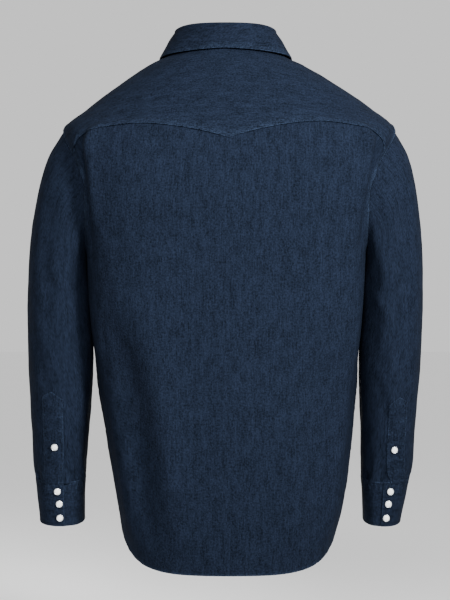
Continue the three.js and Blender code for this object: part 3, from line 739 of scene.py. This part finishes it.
def collar_leaf():
    last = len(LEAF["turn"]) - 1
    place = graded(0, 2 * last, 0.082, 0.03, 0.25, 0.25)
    half = np.minimum(place, 2 * last - place)
    angle = {name: along(LEAF[name], half) for name in ("stand", "turn")}
    angle = {name: np.where(place > last, 180 - each, each) for name, each in angle.items()}
    edge, facing = surface(trunk, angle["turn"], along(LEAF["level"], half))
    edge = edge + facing * along(LEAF["lift"], half)[:, None]
    top = stand_points(angle["stand"], 1.0)
    away = outward(top)
    roll = [top + away * out + [0, 0, up + 0.3] for out, up in ROLL]
    fall = [roll[-1] + (edge - roll[-1]) * way + facing * LEAF_CROWN * np.sin(np.pi * way)
            for way in LEAF_FALL]
    section = np.array(roll + fall)
    rows = np.concatenate([np.linspace(0, 6, 19)[:-1], graded(6, 12, 0.27, 0.12, 0, 0.6)])
    points = along(section, rows)
    beside = np.gradient(points, axis=1)
    down = np.gradient(points, axis=0)
    normals = -np.cross(beside, down)
    normals /= np.linalg.norm(normals, axis=-1, keepdims=True)
    across, fallen, sides = measured(points)
    low = fallen[-1] - fallen
    border = np.minimum(low, np.minimum(*sides))
    ripple = puckers(border, across, 61, 0.22, 9)
    crease = 0.5 * uneven(across, fallen, 38, 62) * smooth(fallen, 8, 22)
    lift = ripple + crease - 0.25 * np.exp(-(((border - LEAF_ROWS[1]) / 1.1) ** 2))
    shown = points + normals * lift[..., None]
    cut = np.stack([fallen, across], -1)
    wear = seam_wear(border, ripple, 0.12)
    piece = cloth("collar_leaf_fold", shown, normals, cut, wear, DOUBLE_WALL, DOUBLE_EDGE)
    rows = [(low, gap, 0, WHOLE) for gap in LEAF_ROWS]
    seams = sewing("collar_leaf_stitches", shown, normals, rows)
    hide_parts("collar_leaf")


collar_stand()
collar_leaf()

# Sleeves
# Each is one piece of denim with a felled seam under the arm. It tucks under the lapped edge of the
# armhole and is gathered a little into its cuff.
SLEEVE_BOX = 0.1  # how square the rings are
ARMHOLE_BLEND = 1.6  # the ring by which the armhole's shape has faded
UNDERARM_CLEARANCE = 0.6
# Rings from the armhole (row 0) to the wrist, in the left arm's frame: outermost and innermost
# points, the middle's depth, the half depth and the back's droop
SLEEVE_COLUMNS = "out_x out_z in_x in_z middle deep lean"
SLEEVES = {
    "left": table(SLEEVE_COLUMNS, [
        [241, -112, 200, -300, 0, 68, 0],
        [263, -152, 202, -316, 1, 68, 0],
        [278.5, -210, 199.5, -342, 1, 67, 0],
        [289, -285, 197, -380, 0, 66, 0],
        [292.5, -365, 195.5, -425, -3, 64, 0],
        [292, -450, 197, -475, -8, 60, 1.5],
        [288.5, -537, 202, -545, -15, 53, 3],
        [286, -600, 207, -600, -22, 46, 5],
        [282.5, -624, 209, -624, -25, 43, 6],
    ]),
    "right": table(SLEEVE_COLUMNS, [
        [252, -114, 202, -300, 0, 68, 0],
        [270, -148, 204, -316, 1, 68, 0],
        [282, -200, 201, -342, 1, 67, 0],
        [290.5, -285, 200, -380, 0, 66, 0],
        [291.5, -365, 198, -425, -3, 64, 0],
        [289, -450, 198, -475, -8, 60, 1.5],
        [282.5, -537, 200.5, -545, -15, 53, 3],
        [279, -600, 201.5, -600, -22, 47, 5],
        [273.5, -624, 202.5, -624, -25, 45, 6],
    ]),
}
# Low and high ring, phi at both, breadth in degrees and height in mm. phi is 0 outside, 90 behind.
SLEEVE_FOLDS = [
    [0.2, 3.4, 128, 96, 12, 4],
    [0.5, 4.6, 62, 74, 14, -3.5],
    [2.6, 6.4, 120, 78, 13, 3],
    [0.4, 3.6, -118, -84, 12, 4],
    [3.2, 5.4, -150, -66, 12, -4],
    [3.9, 6.2, -140, -58, 11, 3.5],
]
SLEEVE_CREASES = {
    "left": [
        [1.2, 5.8, 130, 118, 28, -8],
        [1.4, 3.3, 108, 66, 8, 1.6],
        [2.2, 4.1, 140, 84, 7, -1.7],
        [3.6, 5.1, 130, 60, 7, 1.5],
        [4.4, 5.8, 44, 88, 8, -1.3],
        [5.3, 6.9, 112, 74, 8, 1.2],
        [6.4, 7.8, 132, 120, 9, 1.3],
        [6.9, 7.95, 112, 106, 6, -1.3],
        [7, 8.3, 44, 34, 7, -3.6],
        [7.1, 8.4, 120, 133, 8, -4],
        [7.2, 8.4, 106, 108, 5, 2.4],
        [7, 8.2, 150, 158, 9, 2.4],
        [1.1, 3, -60, -100, 9, 1.5],
        [3.4, 5, -40, -110, 9, 1.6],
        [5.2, 6.6, -120, -70, 9, -1.4],
        [6.6, 7.9, -80, -88, 7, 1.2],
    ],
    "right": [
        [1.4, 5.4, 136, 126, 22, -3],
        [1.6, 3.6, 112, 60, 8, -1.6],
        [2.5, 4.4, 136, 80, 7, 1.8],
        [3.3, 4.9, 58, 118, 8, -1.4],
        [4.6, 6, 128, 70, 8, 1.5],
        [5.6, 7, 104, 64, 8, -1.2],
        [6.2, 7.85, 124, 116, 9, 1.4],
        [6.8, 7.9, 30, 34, 8, 1.1],
        [6.9, 8.4, 96, 112, 7, -4],
        [7, 8.4, 118, 134, 7, 2.6],
        [7.1, 8.3, 40, 30, 7, -3.2],
        [7.2, 8.4, 142, 152, 8, -3.6],
        [1.2, 3.1, -64, -96, 9, 1.5],
        [3.1, 4.8, -44, -108, 9, -1.5],
        [5, 6.7, -118, -72, 9, 1.5],
        [6.5, 7.9, -90, -84, 7, -1.2],
    ],
}
MIRROR = np.array([-1, 1, 1])


def ring_points(rows, phi, step, push=0):
    """Points of a left sleeve's or cuff's rings, pushed outwards."""
    phi, step = np.broadcast_arrays(phi, step)
    c, s = np.cos(np.radians(phi)), np.sin(np.radians(phi))
    at = {name: along(column, step) for name, column in rows.items()}
    reach = (1 + c * (1 + SLEEVE_BOX * s * s)) / 2
    return np.stack([
        at["in_x"] + (at["out_x"] - at["in_x"]) * reach + c * push,
        at["middle"] + at["deep"] * s * (1 + SLEEVE_BOX * c * c) + s * push,
        at["in_z"] + (at["out_z"] - at["in_z"]) * reach - at["lean"] * s,
    ], -1)


def arm_turn_level(arm, phi, spread=1):
    """An arm's armhole: turn and ring on the trunk."""
    turn, level = armhole(phi, spread)
    return (180 - turn if arm == "right" else turn), level


def sleeve_points(arm, phi, step):
    """Points of a sleeve, whose first rings follow the armhole."""
    phi, step = np.broadcast_arrays(phi, step)
    folds = fold_height(SLEEVE_FOLDS + SLEEVE_CREASES[arm], phi, step)
    points = ring_points(SLEEVES[arm], phi, step, folds)
    ring = ring_points(SLEEVES[arm], phi, np.zeros_like(step))
    if arm == "right":
        points, ring = points * MIRROR, ring * MIRROR
    fade = np.maximum(0, 1 - step / ARMHOLE_BLEND) ** 2
    start, normal = surface(trunk, *arm_turn_level(arm, phi))
    start = start + normal * (UNDERARM_CLEARANCE * (1 - np.cos(np.radians(phi))) / 2)[..., None]
    return points + (start - ring) * fade[..., None]


def sense(arm):
    """Which way round an arm's surface faces outwards."""
    return 1 if arm == "right" else -1


def arm_surface(points_of, arm, phi, step):
    return surface(lambda u, v: points_of(arm, u, v), phi, step, sense(arm), 1, 0.02)


def sleeve(arm):
    phi = np.linspace(180, -180, 105)[None]
    step = graded(0, 8, 0.062, 0.02, 0.12, 0.16)[:, None]
    points, normals = arm_surface(sleeve_points, arm, phi + 0 * step, step + 0 * phi)
    for spread in (1.02, 1.05):  # two more rings go on under the panels' lapped edges
        under, facing = surface(trunk, *arm_turn_level(arm, phi, spread))
        points = np.concatenate([under - facing * TUCK, points])
        normals = np.concatenate([facing, normals])
    across, down, sides = measured(points)
    top, low = np.maximum(0, down - down[2]), down[-1] - down
    seam = np.minimum(*sides)
    gathers = puckers(low, across, 71, 0.8, 19)
    ripple = gathers + puckers(top, across, 72, 0.3, 11) * (top > 0)
    ripple += puckers(seam, down, 73, 0.25, 9) * (top > 4)
    lift = ripple + 0.45 * uneven(across, down, 48, 74) + 0.14 * uneven(across, down, 15, 75)
    lift = lift * smooth(top, 0, 6) - SEAM_GROOVE * np.exp(-((top / 1.8) ** 2))
    wear = 0.8 * np.clip(gathers, 0, 1) + 0.3 * np.exp(-((seam / 2) ** 2))
    shown = points + normals * lift[..., None]
    behind = np.abs(phi[0] - 100).argmin()
    cut = np.stack([across - across[:, [behind]], down], -1)
    piece = cloth(f"sleeve_{arm}_cloth", shown, normals, cut, wear)
    rows = [(across, gap, 1, slice(4, None)) for gap in FELL_ROWS]
    seams = sewing(f"sleeve_{arm}_stitches", shown, normals, rows)
    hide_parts(f"sleeve_{arm}")


for arm in ("left", "right"):
    sleeve(arm)

# Gauntlets
# A pointed strip of denim topstitched over each sleeve's slit, with stitches straight across its
# head. Rows give its two edges at rings of the sleeve, from the wrist to the point.
GAUNTLETS = {
    "left": table("step outer inner", [[8, 54, 91], [6.9, 62, 101], [5.49, 63, 98]]),
    "right": table("step outer inner", [[8, 44, 82], [6.9, 58, 95], [5.59, 60, 94]]),
}
GAUNTLET_POINT = 0.11
GAUNTLET_LIFT, GAUNTLET_EDGE, GAUNTLET_ROW = 1.45, 0.4, 1.8
GAUNTLET_BARS = {"left": [21], "right": [18.5, 21.5]}  # stitches straight across, below the corners


def gauntlet(arm):
    edges = GAUNTLETS[arm]
    place = graded(0, 2, 0.032)[:, None]
    way = graded(0, 1, 0.07, 0.035, 0.14, 0.14)[None]
    ends = [along(edges[name], place) for name in ("outer", "inner")]
    phi = ends[0] + (ends[1] - ends[0]) * way
    point = smooth(place, 1.7, 2) * GAUNTLET_POINT * (1 - np.abs(2 * way - 1))
    step = along(edges["step"], place) - point
    points, normals = arm_surface(sleeve_points, arm, phi, step)
    across, up, sides = measured(points)
    edge = np.minimum(*sides)
    border = np.minimum(edge, up[-1:] - up)
    ripple = puckers(edge, up, 81 + sense(arm), 0.5, 16) + puckers(up[-1:] - up, across, 83, 0.25, 10)
    shown = points + normals * (GAUNTLET_LIFT + ripple)[..., None]
    cut = np.stack([across, up], -1)
    wear = seam_wear(border, 0.5 * ripple)
    piece = cloth(f"gauntlet_{arm}_strip", shown, normals, cut, wear, bevel=GAUNTLET_EDGE)
    rows = [(each, GAUNTLET_ROW, 1, WHOLE) for each in sides]
    rows.append((up[-1:] - up, GAUNTLET_ROW, 0, WHOLE))
    rows += [(up, up[-1, 0] - below, 0, WHOLE) for below in GAUNTLET_BARS[arm]]
    seams = sewing(f"gauntlet_{arm}_stitches", shown, normals, rows)
    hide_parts(f"gauntlet_{arm}")


for arm in ("left", "right"):
    gauntlet(arm)

# Cuffs
# Two layers of denim round the sleeve's end, lapped at the back and stitched on all four sides.
# Two rings of the sleeve's kind give its top and its edge.
CUFF_EDGE = {"left": 100.8, "right": 98}  # phi of the lap's edge
CUFFS = {
    "left": table(SLEEVE_COLUMNS, [
        [282, -624, 209.5, -624, -25, 43, 6],
        [276, -687, 211, -687, -31, 45, 6],
    ]),
    "right": table(SLEEVE_COLUMNS, [
        [273, -624, 203, -624, -25, 45, 6],
        [260, -687, 206, -687, -31, 49, 6],
    ]),
}
CUFF_HIGH, CUFF_LAP, CUFF_LIFT = 63, 36, 0.8
CUFF_ROW, CUFF_INNER_ROW = 1.9, 8


def cuff_points(arm, phi, down):
    """Points of a cuff, with the lap's under end beneath its upper one."""
    phi, down = np.broadcast_arrays(phi, down)
    under = smooth(CUFF_EDGE[arm] - phi, 332, 357) * (DOUBLE_WALL + 0.6)
    points = ring_points(CUFFS[arm], phi, down, -under)
    return points * MIRROR if arm == "right" else points


def cuff(arm):
    edge = CUFF_EDGE[arm]
    phi = graded(edge - 360 - CUFF_LAP, edge, 2.4, 0.9, 6, 6)[::-1][None]
    down = graded(-0.035, 1, 0.042, 0.02, 0.1, 0.1)[:, None]
    on_cuff = np.maximum(down, 0)
    points, normals = arm_surface(cuff_points, arm, phi + 0 * down, on_cuff + 0 * phi)
    points[..., 2] -= np.minimum(0, down) * CUFF_HIGH
    across, low, sides = measured(points)
    ends = np.minimum(*sides)
    border = np.minimum(np.minimum(low, low[-1:] - low), ends)
    ripple = puckers(low, across, 91, 0.5, 14) + puckers(low[-1:] - low, across, 92, 0.25, 9)
    ripple += puckers(ends, low, 93, 0.2, 9)
    lift = CUFF_LIFT + ripple + 0.3 * uneven(across, low, 40, 94)
    shown = points + normals * lift[..., None]
    cut = np.stack([low, across], -1)
    wear = seam_wear(border, ripple)
    piece = cloth(f"cuff_{arm}_band", shown, normals, cut, wear, DOUBLE_WALL, DOUBLE_EDGE)
    rows = [(each, CUFF_ROW, 0, WHOLE) for each in (low, low[-1:] - low)]
    rows += [(each, CUFF_ROW, 1, WHOLE) for each in sides]
    seams = sewing(f"cuff_{arm}_stitches", shown, normals, rows + [(low, CUFF_INNER_ROW, 0, WHOLE)])
    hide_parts(f"cuff_{arm}")


for arm in ("left", "right"):
    cuff(arm)

# Snaps
# A pearl-like cap, cast with a low dome, held in a thin nickel-plated ring whose prongs grip the
# cloth. One is on the stand, seven down the band, one on each gauntlet and three on each cuff.
STAND_SNAP = -90, 0.45
BAND_SNAPS = [11.3, 9.7, 7.6, 5.9, 4.75, 3.7, 2.65]
CUFF_SNAPS = {
    "left": [(87.5, 0.18), (90.5, 0.47), (90.5, 0.8)],
    "right": [(82, 0.18), (84, 0.47), (86, 0.8)],
}
GAUNTLET_SNAPS = {"left": (85, 6.45), "right": (82, 6.52)}
SNAP_LIFT = {"stand": 0.4, "band": 1.7, "gauntlet": 1.65, "cuff": 1.0}
SNAP_RADIUS, SNAP_SIDES = 5.25, 28
RING_SECTION = [
    (4.15, 1.1), (4.3, 1.75), (4.75, 1.95), (5.1, 1.6), (SNAP_RADIUS, 0.9), (SNAP_RADIUS, 0), (4.0, 0),
]
CAP_SECTION = [(0, 2.25), (1.5, 2.2), (2.9, 2.02), (3.8, 1.72), (4.25, 1.35), (4.25, 0.6), (0, 0.6)]
PEARL_CLOUD, TUMBLE_MARK = 3.85, 0.667


def pearl_cap(tree):
    # Pearlescent acrylic: milky, with a soft cloudy lustre under a clear gloss
    place = add_node(tree, "TexCoord").outputs["Object"]
    cloud = add_node(tree, "TexNoise", {"Scale": 1 / (PEARL_CLOUD * MM), "Detail": 3.0, "Distortion": 1.2},
                     {"Vector": place})
    tint = add_node(tree, "Mix", {"data_type": "RGBA", 6: colour("#c9ced0"), 7: colour("#f4f3ee")},
                    {0: cloud.outputs["Fac"]})
    return add_node(tree, "BsdfPrincipled",
                    {"Roughness": 0.28, "IOR": 1.49, "Coat Weight": 0.6, "Coat Roughness": 0.08},
                    {"Base Color": tint.outputs[2]})


def nickel_ring(tree):
    # Nickel-plated brass: bright, with fine tumbling marks
    place = add_node(tree, "TexCoord").outputs["Object"]
    marks = add_node(tree, "TexNoise", {"Scale": 1 / (TUMBLE_MARK * MM), "Detail": 2.0},
                     {"Vector": place})
    rough = add_node(tree, "MapRange", {"To Min": 0.22, "To Max": 0.42}, {"Value": marks.outputs["Fac"]})
    return add_node(tree, "BsdfPrincipled", {"Base Color": colour("#c3c6c8"), "Metallic": 1.0},
                    {"Roughness": rough.outputs["Result"]})


pearl = new_material("pearlescent_acrylic", pearl_cap)
nickel = new_material("nickel_plated_brass", nickel_ring)


def lathe(bm, section, closed):
    """Adds a section of (radius, height) spun about Z, and returns its faces."""
    before = set(bm.faces)
    corners = [bm.verts.new((radius * MM, 0, height * MM)) for radius, height in section]
    edges = [bm.edges.new(pair) for pair in zip(corners, corners[1:])]
    if closed:
        edges.append(bm.edges.new((corners[-1], corners[0])))
    bmesh.ops.spin(bm, geom=corners + edges, axis=(0, 0, 1), cent=(0, 0, 0),
                   angle=2 * np.pi, steps=SNAP_SIDES, use_merge=True)
    return set(bm.faces) - before


def snap(node, seat, lift):
    """Sets a snap on a seat, the point and normal of its cloth."""
    point, normal = (each[0] for each in seat)
    bm = bmesh.new()
    lathe(bm, CAP_SECTION, False)
    for face in lathe(bm, RING_SECTION, True):
        face.material_index = 1
    bmesh.ops.remove_doubles(bm, verts=bm.verts, dist=0.002 * MM)
    bmesh.ops.recalc_face_normals(bm, faces=bm.faces)
    turn = Vector((0, 0, 1)).rotation_difference(Vector(normal)).to_matrix().to_4x4()
    place = Matrix.Translation(Vector(point + normal * lift) * MM)
    bmesh.ops.transform(bm, matrix=place @ turn, verts=bm.verts)
    name = f"{node}_cap"
    piece = placed(name, mesh_of(bm, name), "pearl_snap", pearl, nickel)
    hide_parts(node)


def as_arrays(*place):
    return [np.array([float(each)]) for each in place]


snap("snap_front_0", surface(stand_points, *as_arrays(*STAND_SNAP)), SNAP_LIFT["stand"])
for number, level in enumerate(as_arrays(*BAND_SNAPS), 1):
    snap(f"snap_front_{number}", surface(trunk, front_turn(0, level), level), SNAP_LIFT["band"])
for arm in ("left", "right"):
    seat = arm_surface(sleeve_points, arm, *as_arrays(*GAUNTLET_SNAPS[arm]))
    snap(f"snap_gauntlet_{arm}", seat, SNAP_LIFT["gauntlet"])
    for number, place in enumerate(CUFF_SNAPS[arm], 1):
        seat = arm_surface(cuff_points, arm, *as_arrays(*place))
        snap(f"snap_cuff_{arm}_{number}", seat, SNAP_LIFT["cuff"])

# Studio
# A matt white floor well below the hem, an even pale surround, and three soft lamps: the main one
# high on the camera's right, one above the camera, and a weak one before the shirt's front.
FLOOR_HEIGHT, FLOOR_HALF = -0.95, 20
SURROUND_STRENGTH = 0.88
LAMP_SPREAD = 32
# Place and aim in metres, breadth in metres and power in watts
LAMPS = {
    "key": [(-1.75, 2.2, 0.9), (0, 0.1, -0.25), 0.8, 11.6],
    "front": [(0.1, 2.7, 1.0), (0, 0.1, -0.25), 1.2, 5.8],
    "fill": [(0, -3, 0.1), (0, -0.1, -0.36), 1.2, 6],
}
CAMERA_DISTANCE, CAMERA_HEIGHT = 3.0, -0.3596
SENSOR = 36
PHOTO_HEIGHT_PX, MM_PER_PX = 600, 1.48
SHIFT_PX = -0.5

bm = bmesh.new()
bmesh.ops.create_grid(bm, x_segments=1, y_segments=1, size=FLOOR_HALF)
bmesh.ops.translate(bm, verts=bm.verts, vec=(0, 0, FLOOR_HEIGHT))
floor = new_object("studio_floor", mesh_of(bm, "studio_floor"))
matt_white = {"Base Color": colour("#f7f7f7"), "Roughness": 0.9}
paint = new_material("matt_white_paint", lambda tree: add_node(tree, "BsdfPrincipled", matt_white))
floor.data.materials.append(paint)

world = bpy.data.worlds.new("pale_surround")
bpy.context.scene.world = world
world.use_nodes = True
backdrop = world.node_tree.nodes["Background"]
backdrop.inputs["Color"].default_value = colour("#ffffff")
backdrop.inputs["Strength"].default_value = SURROUND_STRENGTH

for name, (place, aim, breadth, power) in LAMPS.items():
    light = bpy.data.lights.new(name, "AREA")
    light.shape = "DISK"
    light.size = breadth
    light.energy = power
    light.spread = np.radians(LAMP_SPREAD)
    lamp = new_object(name, light)
    lamp.location = place
    lamp.rotation_euler = (Vector(aim) - Vector(place)).to_track_quat("-Z", "Y").to_euler()

lens = bpy.data.cameras.new("camera")
lens.sensor_width = SENSOR
lens.lens = SENSOR / PHOTO_HEIGHT_PX * CAMERA_DISTANCE / (MM_PER_PX * MM)
lens.shift_x = SHIFT_PX / PHOTO_HEIGHT_PX
camera = new_object("camera", lens)
camera.location = (0, CAMERA_DISTANCE, CAMERA_HEIGHT)
camera.rotation_euler = (np.pi / 2, 0, np.pi)
bpy.context.scene.camera = camera
